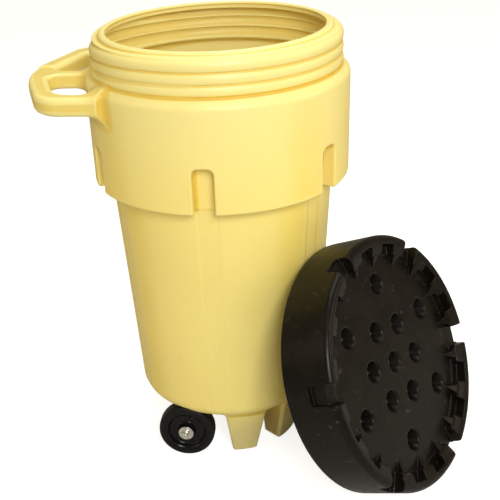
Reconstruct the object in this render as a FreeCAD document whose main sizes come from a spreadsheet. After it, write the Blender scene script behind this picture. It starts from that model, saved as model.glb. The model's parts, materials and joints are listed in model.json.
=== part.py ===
import FreeCAD, Part
import Sketcher
import math
import os
import sys

# Wheeled overpack salvage drum: a moulded drum on two wheels, with its screw lid off and leaning
# on it. The origin is on the drum's axis at the floor. +Z is up, +X is the front (the feet),
# -X is the back (the pull handle) and the axle runs along Y. Lengths are in millimetres.

DIMENSIONS = [
    # drum heights above the floor
    ("drum_height", 1100.0), ("bottom_height", 140.0), ("step_height", 738.0), ("shoulder_height", 1003.0),
    # drum radii and wall
    ("body_low_radius", 236.5), ("body_high_radius", 274.6), ("skirt_low_radius", 315.7),
    ("skirt_high_radius", 318.5), ("wall", 6.0), ("bottom_round", 33.0), ("shoulder_round", 22.0),
    ("step_round", 7.0),
    # neck: three rounded thread rings under a turned-in lip
    ("neck_radius", 294.0), ("neck_bore", 287.0), ("mouth_radius", 262.0), ("ring_round", 19.0),
    ("ring_crest", 301.8), ("ring_pitch", 27.0), ("top_ring_height", 1073.0),
    ("lip_round", 8.5), ("lip_centre_radius", 270.0), ("neck_top", 1089.0),
    # six grip notches round the lower edge of the skirt
    ("notch_width", 48.0), ("notch_top", 849.0), ("notch_depth_radius", 279.0), ("notch_round", 16.0),
    # pull handle: a bowed loop with a middle web and two hand holes
    ("handle_reach", 468.0), ("handle_bow", 300.0), ("handle_width", 448.0), ("handle_thickness", 46.0),
    ("handle_height", 971.0), ("handle_web", 30.0), ("handle_bar", 42.0), ("handle_nose", 56.0),
    ("handle_corner", 45.0), ("hole_corner", 28.0), ("handle_round", 12.0),
    # front feet
    ("foot_top_radius", 217.0), ("foot_low_radius", 178.0), ("foot_inner_radius", 122.0),
    ("slot_width", 62.0), ("slot_height", 122.0), ("foot_top", 152.0),
    # axle lugs under the back
    ("lug_width", 44.0), ("lug_length", 96.0), ("lug_low", 46.0), ("lug_centre", 118.0),
    # axle and wheels
    ("axle_back", 98.0), ("axle_radius", 8.0), ("axle_length", 450.0), ("wheel_radius", 74.0),
    ("wheel_width", 44.0), ("wheel_centre", 182.4), ("tyre_inner_radius", 58.0), ("hub_web", 9.0),
    ("boss_radius", 20.0), ("boss_length", 50.4), ("bush_radius", 11.0), ("running_gap", 0.06),
    ("wheel_recess", 4.5), ("washer_radius", 19.5), ("washer_thickness", 2.5), ("washer_bore", 8.4),
    ("side_gap", 0.3), ("pin_radius", 1.6), ("pin_eye", 4.2),
    # lid, in its own frame: z = 0 on the recessed face
    ("lid_radius", 309.5), ("lid_bore", 303.5), ("lid_skirt", 102.0), ("rim_height", 31.0),
    ("rim_inner_radius", 262.0), ("rim_round", 12.0), ("lid_ring_crest", 298.5), ("lid_ring_round", 9.0),
    ("dimple_radius", 27.0), ("dimple_floor", 12.0), ("dimple_depth", 30.0), ("dimple_pitch", 97.0),
    ("lid_notch_width", 50.0), ("lid_notch_depth", 27.0),
    ("gasket_inner", 258.0), ("gasket_outer", 286.0), ("gasket_thickness", 8.0),
    # how the lid stands: tilt of its axis above level, bearing, turn about its axis, gap to the drum
    ("lean_tilt", 23.5), ("lean_bearing", -28.0), ("lean_turn", 17.4), ("lean_gap", 10.0),
]
SIDES = {"right": -1, "left": 1}
NOTCH_ANGLES = [30 + 60 * k for k in range(6)]
SLOT_ANGLES = [-51.5, 0.0, 51.5]
LUG_SIDES = [-1, 1]
HANDLE_CANT = 2.0     # the loop is turned about X, its +Y side up

doc = FreeCAD.newDocument("overpack_drum")
sheet = doc.addObject("Spreadsheet::Sheet", "dims")
for row, (name, value) in enumerate(DIMENSIONS, start=1):
    sheet.set("A%d" % row, name)
    sheet.set("B%d" % row, repr(value))
    sheet.setAlias("B%d" % row, name)
doc.recompute()
size = {name: value for name, value in DIMENSIONS}
V = FreeCAD.Vector


def bind(obj, prop, formula):
    """Tie a property to a formula in which words are cells of the sheet."""
    words = []
    for token in formula.replace("(", " ( ").replace(")", " ) ").split():
        words.append("dims." + token if token in size else token)
    obj.setExpression(prop, " ".join(words))


def prim(kind, name, at=(None, None, None), turn=None, **sizes):
    """A Part primitive whose sizes and place follow the sheet."""
    obj = doc.addObject("Part::" + kind, name)
    for prop, formula in sizes.items():
        bind(obj, prop, formula)
    if turn is not None:
        obj.Placement = FreeCAD.Placement(V(0, 0, 0), turn)
    for axis, formula in zip("xyz", at):
        if formula is not None:
            bind(obj, ".Placement.Base." + axis, formula)
    return obj


def join(name, shapes):
    obj = doc.addObject("Part::MultiFuse", name)
    obj.Shapes = shapes
    return obj


def overlap(name, shapes):
    obj = doc.addObject("Part::MultiCommon", name)
    obj.Shapes = shapes
    return obj


def cut(name, base, tool):
    obj = doc.addObject("Part::Cut", name)
    obj.Base = base
    obj.Tool = tool
    return obj


def round_edges(name, base, radius, chosen):
    """Fillet the edges of base for which chosen(edge) is true."""
    doc.recompute()
    numbers = [i + 1 for i, edge in enumerate(base.Shape.Edges) if chosen(edge)]
    obj = doc.addObject("Part::Fillet", name)
    obj.Base = base
    obj.Edges = [(number, size[radius], size[radius]) for number in numbers]
    return obj


def circle_at(height):
    """Picks the whole circular edge that lies at a height."""
    def chosen(edge):
        box = edge.BoundBox
        return len(edge.Vertexes) == 1 and abs(box.ZMin - height) < 0.01 and abs(box.ZMax - height) < 0.01
    return chosen


def upright(edge):
    box = edge.BoundBox
    return box.XLength < 0.01 and box.YLength < 0.01


def about_z(angle):
    return FreeCAD.Rotation(V(0, 0, 1), angle)


def radial_block(name, angle, inner, outer, width, low, high):
    """A box that reaches out along a bearing, centred on it."""
    block = prim("Box", name, Length="(%s) - (%s)" % (outer, inner), Width=width,
                 Height="(%s) - (%s)" % (high, low))
    block.Placement = FreeCAD.Placement(V(0, 0, 0), about_z(angle))
    c, s = math.cos(math.radians(angle)), math.sin(math.radians(angle))
    bind(block, ".Placement.Base.x", "(%s) * %.6f + (%s) / 2 * %.6f" % (inner, c, width, s))
    bind(block, ".Placement.Base.y", "(%s) * %.6f - (%s) / 2 * %.6f" % (inner, s, width, c))
    bind(block, ".Placement.Base.z", low)
    return block


# --- drum shell: outer form -------------------------------------------------------------------

def tapered_body(name, inset, overshoot):
    low = prim("Cone", name + "_cone", at=(None, None, "bottom_height + " + inset),
               Radius1="body_low_radius - " + inset, Radius2="body_high_radius - " + inset,
               Height="step_height - bottom_height - %s + %s" % (inset, overshoot))
    edge_height = size["bottom_height"] + (size["wall"] if inset == "wall" else 0.0)
    radius = "bottom_round"
    return round_edges(name, low, radius, circle_at(edge_height))


def skirt_form(name, inset):
    cone = prim("Cone", name + "_cone", at=(None, None, "step_height + " + inset),
                Radius1="skirt_low_radius - " + inset, Radius2="skirt_high_radius - " + inset,
                Height="shoulder_height - step_height - 2 * " + inset)
    inset_size = size["wall"] if inset == "wall" else 0.0
    top = round_edges(name + "_top", cone, "shoulder_round", circle_at(size["shoulder_height"] - inset_size))
    return round_edges(name, top, "step_round", circle_at(size["step_height"] + inset_size))


body_outer = tapered_body("body_outer", "0", "12")
skirt_outer = skirt_form("skirt_outer", "0")
neck = prim("Cylinder", "neck", at=(None, None, "shoulder_height - 12"), Radius="neck_radius",
            Height="neck_top - shoulder_height + 12")
rings = [prim("Torus", "thread_ring_%d" % k,
              at=(None, None, "top_ring_height - %d * ring_pitch" % k),
              Radius1="ring_crest - ring_round", Radius2="ring_round") for k in range(3)]
lip = prim("Torus", "lip", at=(None, None, "drum_height - lip_round"),
           Radius1="lip_centre_radius", Radius2="lip_round")

# six notches in the skirt's lower edge, each with a wall of its own behind it
notches = []
notch_margins = []
for k, angle in enumerate(NOTCH_ANGLES):
    notches.append(radial_block("notch_%d" % k, angle, "notch_depth_radius", "skirt_high_radius + 20",
                                "notch_width", "step_height - 20", "notch_top"))
    notch_margins.append(radial_block("notch_margin_%d" % k, angle, "notch_depth_radius - wall",
                                      "skirt_high_radius + 20", "notch_width + 2 * wall",
                                      "step_height - 20", "notch_top + wall"))
rounded_notches = []
for k, block in enumerate(notches):
    top = size["notch_top"]
    rounded_notches.append(round_edges("notch_round_%d" % k, block, "notch_round", lambda edge: (
        abs(edge.BoundBox.ZMin - top) < 0.01 and edge.BoundBox.ZLength < 0.01
        and abs(edge.Length - size["notch_width"]) > 1.0)))
notch_form = join("notch_form", rounded_notches)

# --- pull handle: bowed plate with two hand holes ---------------------------------------------

handle_disc = prim("Cylinder", "handle_disc", at=("handle_bow - handle_reach", None, "0 - handle_thickness / 2"),
                   Radius="handle_bow", Height="handle_thickness")
handle_strip = prim("Box", "handle_strip",
                    at=("0 - handle_reach", "0 - handle_width / 2", "0 - handle_thickness / 2"),
                    Length="handle_reach - 215", Width="handle_width", Height="handle_thickness")
handle_bowed = overlap("handle_bowed", [handle_disc, handle_strip])
handle_plate = round_edges("handle_plate", handle_bowed, "handle_corner",
                           lambda edge: upright(edge) and edge.BoundBox.XMax < -300.0)
hand_holes = []
for side, sign in SIDES.items():
    y_low = "handle_web / 2" if sign > 0 else "0 - handle_width / 2 + handle_bar"
    hole_disc = prim("Cylinder", "hole_disc_" + side,
                     at=("handle_bow - handle_reach", None, "0 - handle_thickness"),
                     Radius="handle_bow - handle_nose", Height="handle_thickness * 2")
    hole_box = prim("Box", "hole_box_" + side, at=("0 - handle_reach", y_low, "0 - handle_thickness"),
                    Length="handle_reach - 240", Height="handle_thickness * 2",
                    Width="handle_width / 2 - handle_bar - handle_web / 2")
    hole = overlap("hand_hole_" + side, [hole_disc, hole_box])
    hand_holes.append(round_edges("hand_hole_round_" + side, hole, "hole_corner",
                                  lambda edge: upright(edge) and edge.BoundBox.XMax < -300.0))
handle_holed = cut("handle_holed", handle_plate, join("hand_holes", hand_holes))
handle_body = round_edges("handle_loop", handle_holed, "handle_round", lambda edge: (
    edge.BoundBox.ZLength < 0.01 and edge.BoundBox.XLength + edge.BoundBox.YLength > 1.0
    and not (edge.BoundBox.XLength < 0.01 and edge.BoundBox.XMax > -250.0)))
handle_body.Placement = FreeCAD.Placement(V(0, 0, 0), FreeCAD.Rotation(V(1, 0, 0), HANDLE_CANT))
bind(handle_body, ".Placement.Base.z", "handle_height")

# --- front feet and axle lugs, hollow from the inside -----------------------------------------

def foot_ring(name, inset):
    outer = prim("Cone", name + "_outer", at=(None, None, inset), Radius1="foot_low_radius - " + inset,
                 Radius2="foot_top_radius - " + inset, Height="foot_top - " + inset)
    inner = prim("Cylinder", name + "_inner", at=(None, None, "0 - 1"),
                 Radius="foot_inner_radius + " + inset, Height="foot_top + 2")
    ring = cut(name + "_ring", outer, inner)
    front = prim("Box", name + "_front", at=("20 + " + inset, "0 - 300", "0 - 1"),
                 Length="300", Width="600", Height="foot_top + 2")
    return overlap(name + "_sector", [ring, front])


def foot_slots(name, margin):
    blocks = [radial_block("%s_%d" % (name, k), angle, "foot_inner_radius - 30", "foot_top_radius + 20",
                           "slot_width + 2 * " + margin, "0 - 10", "slot_height + " + margin)
              for k, angle in enumerate(SLOT_ANGLES)]
    return join(name, blocks)


feet = cut("feet", foot_ring("foot", "0"), foot_slots("foot_slots", "0"))
feet_hollow = cut("feet_hollow", foot_ring("foot_hollow", "wall"), foot_slots("foot_slot_walls", "wall"))


def axle_lug(name, sign, inset):
    return prim("Box", name, at=("0 - axle_back - lug_length / 2 + " + inset,
                                 "%d * lug_centre - lug_width / 2 + %s" % (sign, inset),
                                 "lug_low + " + inset),
                Length="lug_length - 2 * " + inset, Width="lug_width - 2 * " + inset,
                Height="foot_top - lug_low - " + inset)


along_y = FreeCAD.Rotation(V(1, 0, 0), -90)
lugs = []
lug_hollows = []
wheel_recesses = []
recess_walls = []
for sign in LUG_SIDES:
    tag = "left" if sign > 0 else "right"
    lugs.append(round_edges("axle_lug_" + tag, axle_lug("lug_block_" + tag, sign, "0"), "step_round",
                            lambda edge: abs(edge.BoundBox.ZMax - size["lug_low"]) < 0.01))
    lug_hollows.append(axle_lug("lug_hollow_" + tag, sign, "wall"))
    start = "%d * 181 - 29" % sign
    recess = prim("Cylinder", "wheel_recess_" + tag, at=("0 - axle_back", start, "wheel_radius"),
                  turn=along_y, Radius="wheel_radius + wheel_recess", Height="58")
    wall_form = prim("Cylinder", "recess_wall_" + tag, at=("0 - axle_back", start + " - wall", "wheel_radius"),
                     turn=along_y, Radius="wheel_radius + wheel_recess + wall", Height="58 + 2 * wall")
    wheel_recesses.append(recess)
    recess_walls.append(wall_form)
axle_hole = prim("Cylinder", "axle_hole", at=("0 - axle_back", "0 - 200", "wheel_radius"), turn=along_y,
                 Radius="axle_radius + 0.4", Height="400")
axle_sleeve = prim("Cylinder", "axle_sleeve",
                   at=("0 - axle_back", "0 - lug_centre - lug_width / 2 + wall / 2", "wheel_radius"),
                   turn=along_y, Radius="axle_radius + wall", Height="2 * lug_centre + lug_width - wall")
sleeve_in_lugs = overlap("sleeve_in_lugs", [axle_sleeve, join("lug_blocks", [
    axle_lug("sleeve_lug_right", -1, "0"), axle_lug("sleeve_lug_left", 1, "0")])])

# --- drum shell: put together -----------------------------------------------------------------

outer_form = join("outer_form", [body_outer, skirt_outer, neck, lip, feet, handle_body] + rings + lugs)
outer_cut = cut("outer_cut", outer_form, join("outer_tools", [notch_form] + wheel_recesses))

body_inner = tapered_body("body_inner", "wall", "20")
skirt_inner = skirt_form("skirt_inner", "wall")
skirt_hollow = cut("skirt_hollow", skirt_inner, join("notch_walls", notch_margins))
neck_hollow = prim("Cylinder", "neck_hollow", at=(None, None, "shoulder_height - 20"), Radius="neck_bore",
                   Height="drum_height - 2 * lip_round - shoulder_height + 20")
mouth = prim("Cylinder", "mouth", at=(None, None, "drum_height - 40"), Radius="mouth_radius", Height="60")
cavity = join("cavity", [body_inner, skirt_hollow, neck_hollow, mouth, feet_hollow] + lug_hollows)
cavity_clear = cut("cavity_clear", cavity, join("cavity_keeps", recess_walls + [sleeve_in_lugs]))
drum_shell = cut("drum_shell", cut("shell_hollow", outer_cut, cavity_clear), axle_hole)

# --- lid, in its own frame ---------------------------------------------------------------------

lid_block = prim("Cylinder", "lid_block", at=(None, None, "0 - lid_skirt"), Radius="lid_radius",
                 Height="lid_skirt + rim_height")
lid_rounded = round_edges("lid_rounded", lid_block, "rim_round", circle_at(size["rim_height"]))
lid_recess = prim("Cylinder", "lid_recess", Radius="rim_inner_radius", Height="rim_height + 10")
lid_notches = join("lid_notches", [
    radial_block("lid_notch_%d" % k, 60 * k, "rim_inner_radius - 6", "lid_radius + 10", "lid_notch_width",
                 "rim_height - lid_notch_depth", "rim_height + 10") for k in range(6)])
lid_notch_walls = join("lid_notch_walls", [
    radial_block("lid_notch_wall_%d" % k, 60 * k, "rim_inner_radius - 12", "lid_radius + 10",
                 "lid_notch_width + 2 * wall", "rim_height - lid_notch_depth - wall", "rim_height + 10")
    for k in range(6)])
skirt_bore = prim("Cylinder", "skirt_bore", at=(None, None, "0 - lid_skirt - 10"), Radius="lid_bore",
                  Height="lid_skirt + 10 - wall")
rim_channel = cut("rim_channel",
                  prim("Cylinder", "rim_channel_outer", at=(None, None, "0 - wall - 1"), Radius="lid_bore",
                       Height="rim_height + 1"),
                  prim("Cylinder", "rim_channel_inner", at=(None, None, "0 - wall - 2"),
                       Radius="rim_inner_radius + wall", Height="rim_height + 10"))
lid_hollow = join("lid_hollow", [skirt_bore, cut("rim_channel_clear", rim_channel, lid_notch_walls)])
lid_cup = cut("lid_cup", cut("lid_open", lid_rounded, join("lid_top_tools", [lid_recess, lid_notches])),
              lid_hollow)


def dimple(name, radius, angle, grow):
    """One conical dimple in the lid's face; grow is the wall added round it."""
    cone = prim("Cone", name, Radius1="dimple_floor + " + grow, Radius2="dimple_radius + " + grow,
                Height="dimple_depth")
    c, s = math.cos(math.radians(angle)), math.sin(math.radians(angle))
    bind(cone, ".Placement.Base.x", "%d * dimple_pitch * %.6f" % (radius, c))
    bind(cone, ".Placement.Base.y", "%d * dimple_pitch * %.6f" % (radius, s))
    bind(cone, ".Placement.Base.z", "0 - dimple_depth" + (" - wall" if grow != "0" else ""))
    return cone


DIMPLES = [(0, 0)] + [(1, 60 * k) for k in range(6)] + [(2, 30 + 60 * k) for k in range(6)]
dimple_walls = [dimple("dimple_wall_%d" % k, r, a, "wall") for k, (r, a) in enumerate(DIMPLES)]
dimple_holes = [dimple("dimple_%d" % k, r, a, "0") for k, (r, a) in enumerate(DIMPLES)]
lid_rings = [prim("Torus", "lid_ring_%d" % k, at=(None, None, "0 - 54 - %d * ring_pitch" % k),
                  Radius1="lid_ring_crest + lid_ring_round", Radius2="lid_ring_round") for k in range(2)]
lid_ring_limit = prim("Cylinder", "lid_ring_limit", at=(None, None, "0 - lid_skirt"),
                      Radius="lid_radius - 1", Height="lid_skirt")
lid_thread = overlap("lid_thread", [join("lid_ring_pair", lid_rings), lid_ring_limit])
lid_shell = cut("lid_shell", join("lid_walled", [lid_cup, lid_thread] + dimple_walls),
                join("dimples", dimple_holes))
gasket_ring = cut("lid_gasket",
                  prim("Cylinder", "gasket_outer_form", at=(None, None, "0 - wall - gasket_thickness"),
                       Radius="gasket_outer", Height="gasket_thickness"),
                  prim("Cylinder", "gasket_inner_form", at=(None, None, "0 - wall - gasket_thickness - 1"),
                       Radius="gasket_inner", Height="gasket_thickness + 2"))

# the lid stands on its lower edge and leans back against the tapered body
tilt = math.radians(size["lean_tilt"])
lid_height = size["lid_skirt"] * math.sin(tilt) + size["lid_radius"] * math.cos(tilt)
touch_height = lid_height - size["lid_skirt"] * math.sin(tilt) + size["lid_radius"] * math.cos(tilt)
taper = (size["body_high_radius"] - size["body_low_radius"]) / (size["step_height"] - size["bottom_height"])
body_radius = size["body_low_radius"] + taper * (touch_height - size["bottom_height"])
lid_out = (body_radius + size["lean_gap"] + size["lid_skirt"] * math.cos(tilt)
           + size["lid_radius"] * math.sin(tilt))
bearing = math.radians(size["lean_bearing"])
lid_turn = (about_z(size["lean_bearing"]) * FreeCAD.Rotation(V(0, 1, 0), 90 - size["lean_tilt"])
            * about_z(size["lean_turn"]))
lid_place = FreeCAD.Placement(V(lid_out * math.cos(bearing), lid_out * math.sin(bearing), lid_height), lid_turn)
lid_shell.Placement = lid_place
gasket_ring.Placement = lid_place

# --- axle and wheels -----------------------------------------------------------------------------

def origin_plane(body, role):
    return next(o for o in body.Origin.OriginFeatures if o.Role == role)


def amount_of(formula):
    """The value of a sum of cells and numbers, such as wheel_radius - 3."""
    total = 0.0
    sign = 1.0
    for token in formula.split():
        if token == "+":
            sign = 1.0
        elif token == "-":
            sign = -1.0
        else:
            total += sign * (size[token] if token in size else float(token))
    return total


def revolved(name, outline):
    """A body turned about Y from a closed outline of (radius, along) pairs; words follow the sheet."""
    body = doc.addObject("PartDesign::Body", name)
    sketch = body.newObject("Sketcher::SketchObject", name + "_outline")
    sketch.AttachmentSupport = [(origin_plane(body, "XY_Plane"), "")]
    sketch.MapMode = "FlatFace"

    points = [V(amount_of(r), amount_of(y), 0) for r, y in outline]
    count = len(points)
    for k in range(count):
        sketch.addGeometry(Part.LineSegment(points[k], points[(k + 1) % count]), False)
    for k in range(count):
        sketch.addConstraint(Sketcher.Constraint("Coincident", k, 2, (k + 1) % count, 1))
    for k, (radius, along) in enumerate(outline):
        for kind, formula, amount in (("DistanceX", radius, points[k].x), ("DistanceY", along, points[k].y)):
            index = sketch.addConstraint(Sketcher.Constraint(kind, -1, 1, k, 1, amount))
            bind(sketch, "Constraints[%d]" % index, formula)
    turn = body.newObject("PartDesign::Revolution", name + "_turn")
    turn.Profile = sketch
    turn.ReferenceAxis = (sketch, ["V_Axis"])
    turn.Angle = 360.0
    return body


def sketched_disc(name, outer, bore, low, high):
    return revolved(name, [(bore, low), (outer, low), (outer, high), (bore, high)])


half = size["wheel_width"] / 2
hub_half = size["boss_length"] / 2
nodes = [drum_shell, lid_shell, gasket_ring]

axle_rod = prim("Cylinder", "axle_rod", at=("0 - axle_back", "0 - axle_length / 2", "wheel_radius"),
                turn=along_y, Radius="axle_radius", Height="axle_length")
axle_ends = round_edges("axle_chamfered", axle_rod, "pin_radius", lambda edge: (
    len(edge.Vertexes) == 1 and abs(abs(edge.BoundBox.YMin) - size["axle_length"] / 2) < 0.01))
PIN_OUT = "wheel_centre + boss_length / 2 + side_gap * 2 + washer_thickness + 3"
pin_holes = [prim("Cylinder", "pin_hole_" + side,
                  at=("0 - axle_back", "%d * (%s)" % (sign, PIN_OUT), "wheel_radius - 12"),
                  Radius="pin_radius + 0.15", Height="24") for side, sign in SIDES.items()]
axle = cut("axle", axle_ends, join("pin_holes", pin_holes))
nodes.append(axle)


def place_on_axle(obj, label, sign, along):
    """Set a turned piece on the axle's line, its +Y end outboard."""
    turn = FreeCAD.Rotation() if sign > 0 else FreeCAD.Rotation(V(0, 0, 1), 180)
    obj.Placement = FreeCAD.Placement(V(-size["axle_back"], sign * along, size["wheel_radius"]), turn)
    obj.Label = label
    nodes.append(obj)


for side, sign in SIDES.items():
    tyre = revolved("tyre_" + side, [
        ("tyre_inner_radius", "0 - 17"), ("tyre_inner_radius + 8", "0 - 22"), ("wheel_radius - 5", "0 - 22"),
        ("wheel_radius", "0 - 16"), ("wheel_radius", "16"), ("wheel_radius - 5", "22"),
        ("tyre_inner_radius + 8", "22"), ("tyre_inner_radius", "17")])
    place_on_axle(tyre, "tyre_" + side, sign, size["wheel_centre"])
    hub = revolved("hub_" + side, [
        ("bush_radius", "0 - 25.2"), ("boss_radius", "0 - 25.2"), ("boss_radius", "0 - 8"),
        ("tyre_inner_radius - 8", "0 - 8"), ("tyre_inner_radius - 6", "0 - 17"), ("tyre_inner_radius", "0 - 17"),
        ("tyre_inner_radius", "17"), ("tyre_inner_radius - 6", "17"), ("tyre_inner_radius - 8", "3"),
        ("boss_radius + 4", "3"), ("boss_radius", "25.2"), ("bush_radius", "25.2")])
    place_on_axle(hub, "wheel_hub_" + side, sign, size["wheel_centre"])
    bush = sketched_disc("bush_" + side, "bush_radius", "axle_radius + running_gap", "0 - 25.2", "25.2")
    place_on_axle(bush, "wheel_bush_" + side, sign, size["wheel_centre"])
    outer_washer = sketched_disc("outer_washer_" + side, "washer_radius", "washer_bore", "0",
                                 "washer_thickness")
    place_on_axle(outer_washer, "outer_washer_" + side, sign,
                  size["wheel_centre"] + hub_half + size["side_gap"])
    inner_washer = sketched_disc("inner_washer_" + side, "washer_radius", "washer_bore",
                                 "0 - washer_thickness", "0")
    place_on_axle(inner_washer, "inner_washer_" + side, sign,
                  size["wheel_centre"] - hub_half - size["side_gap"])
    pin_leg = prim("Cylinder", "pin_leg_" + side,
                   at=("0 - axle_back", "%d * (%s)" % (sign, PIN_OUT), "wheel_radius - 13"),
                   Radius="pin_radius", Height="24")
    pin_eye = prim("Torus", "pin_ring_" + side,
                   at=("0 - axle_back", "%d * (%s)" % (sign, PIN_OUT), "wheel_radius + 10 + pin_eye"),
                   turn=FreeCAD.Rotation(V(1, 0, 0), 90), Radius1="pin_eye", Radius2="pin_radius")
    pin = join("cotter_pin_" + side, [pin_leg, pin_eye])
    nodes.append(pin)

doc.recompute()

failed = [o.Name for o in doc.Objects if "Invalid" in o.State or "Error" in o.State]
for node in nodes:
    if node.Shape.isNull() or not node.Shape.isValid() or node.Shape.Volume <= 0:
        failed.append(node.Label + " shape")
if failed:
    print("failed:", failed)
    sys.exit(1)
os.makedirs("parts", exist_ok=True)
for node in nodes:
    node.Shape.exportStep(os.path.join("parts", node.Label + ".step"))
    box = node.Shape.BoundBox
    print("%-20s solids %d volume %9.1f cm3  x %7.1f %7.1f  y %7.1f %7.1f  z %7.1f %7.1f" % (
        node.Label, len(node.Shape.Solids), node.Shape.Volume / 1000, box.XMin, box.XMax, box.YMin, box.YMax,
        box.ZMin, box.ZMax))
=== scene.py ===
import bpy
import json
import math
import numpy as np
from mathutils import Matrix, Vector


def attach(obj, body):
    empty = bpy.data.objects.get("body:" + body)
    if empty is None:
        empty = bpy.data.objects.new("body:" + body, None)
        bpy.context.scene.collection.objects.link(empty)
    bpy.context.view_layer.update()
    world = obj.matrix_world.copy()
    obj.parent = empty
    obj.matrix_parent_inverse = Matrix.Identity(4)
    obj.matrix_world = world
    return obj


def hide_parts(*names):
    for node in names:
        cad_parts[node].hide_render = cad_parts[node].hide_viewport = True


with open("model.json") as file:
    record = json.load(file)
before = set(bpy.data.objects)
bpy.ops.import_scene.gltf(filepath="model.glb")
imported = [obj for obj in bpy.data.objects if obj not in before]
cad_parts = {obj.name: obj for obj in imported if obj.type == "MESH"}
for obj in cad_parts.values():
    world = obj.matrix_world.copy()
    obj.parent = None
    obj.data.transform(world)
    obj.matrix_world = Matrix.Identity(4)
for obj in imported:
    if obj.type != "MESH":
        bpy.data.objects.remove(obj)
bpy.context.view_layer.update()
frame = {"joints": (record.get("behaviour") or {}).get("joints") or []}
SIDES = {"right": -1, "left": 1}
MM = 0.001

# how closely the points of a meshed solid settle on its surface
SETTLE_ROUNDS = 3
SETTLE_STEP = 0.15
SETTLE_LIMIT = 1.5
SETTLE_SHARE = 0.9
NORMAL_STEP = 0.6
POLE_GAP = 2.0


# ---------------------------------------------------------------------------------------------
# Signed distances. Lengths are in millimetres until make_mesh, and negative is inside.
# ---------------------------------------------------------------------------------------------

def rmax(a, b, radius):
    """Overlap of two solids, its convex corner rounded to a radius."""
    a = a + radius
    b = b + radius
    return np.minimum(np.maximum(a, b), 0) + np.hypot(np.maximum(a, 0), np.maximum(b, 0)) - radius


def smin(a, b, k):
    """Union of two solids with a soft fillet about k wide."""
    h = np.maximum(k - np.abs(a - b), 0) / k
    return np.minimum(a, b) - h * h * k * 0.25


def smax(a, b, k):
    """Overlap of two solids, its corner softened about k wide."""
    return -smin(-a, -b, k)


def right_of(r, z, r1, z1, r2, z2):
    """Distance to the right of the line that rises from (r1, z1) to (r2, z2)."""
    length = math.hypot(r2 - r1, z2 - z1)
    return ((r - r1) * (z2 - z1) - (z - z1) * (r2 - r1)) / length


def at_bearing(x, y, angle):
    """Distances out along a bearing in degrees, and across it on either side."""
    c, s = math.cos(math.radians(angle)), math.sin(math.radians(angle))
    return x * c + y * s, np.abs(y * c - x * s)


def smoothstep(t):
    """Eases from 0 to 1 as t goes from 0 to 1."""
    t = np.clip(t, 0, 1)
    return t * t * (3 - 2 * t)


def axis_zones(*zones):
    """Grid positions from (start, stop, step) zones that follow one another."""
    points = []
    for start, stop, step in zones:
        count = max(1, int(round((stop - start) / step)))
        points.append(np.linspace(start, stop, count, endpoint=False))
    points.append([zones[-1][1]])
    return np.concatenate(points)


def angle_grid(base, fine):
    """Bearings round the circle in degrees, closer together within (centre, half width, step)."""
    angles = []
    a = 0.0
    while a < 360.0 - base * 0.5:
        angles.append(a)
        step = base
        for centre, half, small in fine:
            off = abs((a - centre + 180) % 360 - 180)
            if off < half:
                step = min(step, small)
            elif off < half + base and (centre - a) % 360 < 180:
                step = min(step, max(small, off - half + 0.01))
        a += step
    return np.radians(np.array(angles))


def surface_net(field, angles, radii, heights):
    """Vertices (bearing, radius, height) and outward quads of a field's zero surface on a round grid."""
    n, m, p = field.shape
    wrapped = np.concatenate([field, field[:1]])
    inside = wrapped < 0
    count = np.zeros((n, m - 1, p - 1), np.int8)
    for i in (0, 1):
        for j in (0, 1):
            for k in (0, 1):
                count += inside[i:n + i, j:m - 1 + j, k:p - 1 + k]
    ci, cj, ck = np.nonzero((count > 0) & (count < 8))
    total = np.zeros((len(ci), 3))
    hits = np.zeros(len(ci))
    corners = [(i, j, k) for i in (0, 1) for j in (0, 1) for k in (0, 1)]
    value = {c: wrapped[ci + c[0], cj + c[1], ck + c[2]] for c in corners}
    for a in corners:
        for axis in range(3):
            if a[axis]:
                continue
            b = tuple(1 if q == axis else a[q] for q in range(3))
            va, vb = value[a], value[b]
            cross = (va < 0) != (vb < 0)
            t = np.where(cross, va / np.where(cross, va - vb, 1), 0)
            spot = np.tile(np.array(a, float), (len(ci), 1))
            spot[:, axis] = t
            total += spot * cross[:, None]
            hits += cross
    spot = total / hits[:, None]
    turn = np.append(angles, angles[0] + 2 * math.pi)
    at = np.stack([turn[ci] + spot[:, 0] * (turn[ci + 1] - turn[ci]),
                   radii[cj] + spot[:, 1] * (radii[cj + 1] - radii[cj]),
                   heights[ck] + spot[:, 2] * (heights[ck + 1] - heights[ck])], 1)
    number = np.full((n, m - 1, p - 1), -1, np.int64)
    number[ci, cj, ck] = np.arange(len(ci))
    quads = []

    def add(a, b, c, d, flip):
        q = np.stack([a, b, c, d], 1)
        q[flip] = q[flip][:, ::-1]
        quads.append(q[(q >= 0).all(1)])

    core = inside[:n]
    i, j, k = np.nonzero(inside[:n, 1:-1, 1:-1] != inside[1:n + 1, 1:-1, 1:-1])
    j, k = j + 1, k + 1
    add(number[i, j - 1, k - 1], number[i, j, k - 1], number[i, j, k], number[i, j - 1, k], core[i, j, k])
    i, j, k = np.nonzero(core[:, :-1, 1:-1] != core[:, 1:, 1:-1])
    k = k + 1
    add(number[i - 1, j, k - 1], number[i - 1, j, k], number[i, j, k], number[i, j, k - 1], core[i, j, k])
    i, j, k = np.nonzero(core[:, 1:-1, :-1] != core[:, 1:-1, 1:])
    j = j + 1
    add(number[i - 1, j - 1, k], number[i, j - 1, k], number[i, j, k], number[i - 1, j, k], core[i, j, k])
    return at, np.concatenate(quads)


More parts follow.
